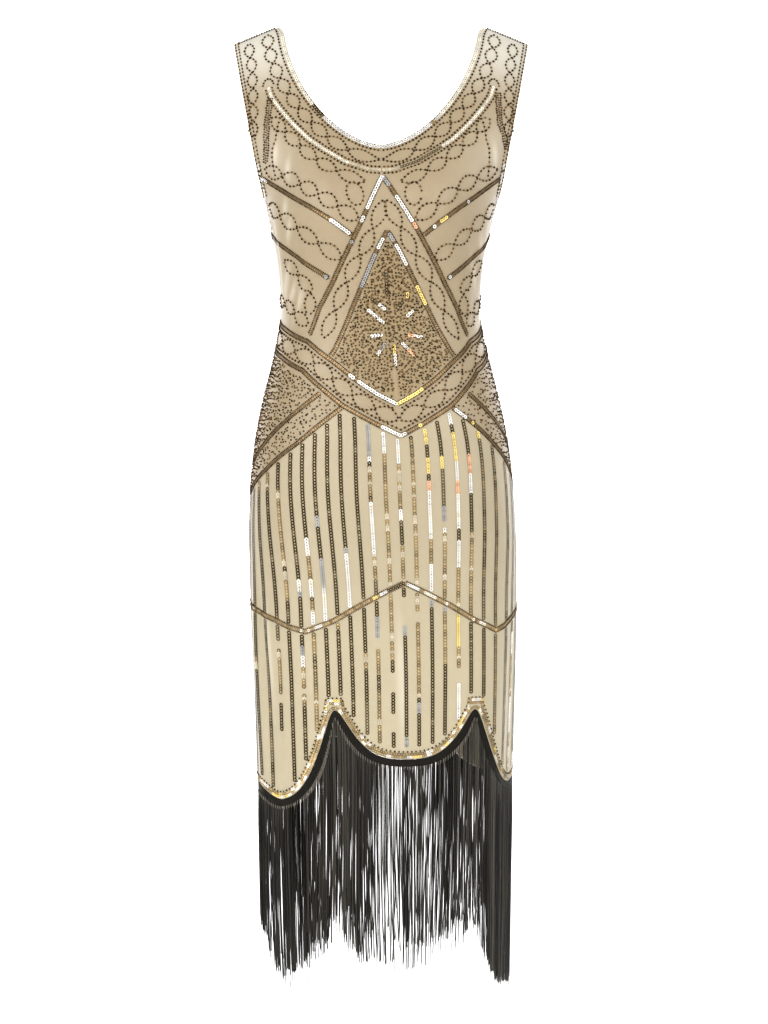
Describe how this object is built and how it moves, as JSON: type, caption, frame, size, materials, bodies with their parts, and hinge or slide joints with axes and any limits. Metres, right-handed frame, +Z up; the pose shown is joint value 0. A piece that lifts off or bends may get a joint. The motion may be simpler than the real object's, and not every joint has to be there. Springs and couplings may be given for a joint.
{
  "type": "flapper dress",
  "caption": "Sleeveless knee-length flapper dress in beige net over satin, with a scoop neck, sequin and bead embroidery, a scalloped hem and long black fringe; worn over the body.",
  "frame": {"origin": "midway between the two shoulder seams, where the wearer's shoulders hold the dress up", "axes": "+Z up along the dress from hem to shoulders, +X to the wearer's left, the front faces -Y"},
  "size_m": [0.3946, 0.2523, 1.2949],
  "materials": {
    "cloth": "beige net over satin with sequins and seed beads",
    "fringe": "black rayon fringe with a sewn header tape"
  },
  "bodies": {
    "root": {"front": "cloth", "back": "cloth", "fringe_front": "fringe", "fringe_back": "fringe"}
  },
  "joints": []
}
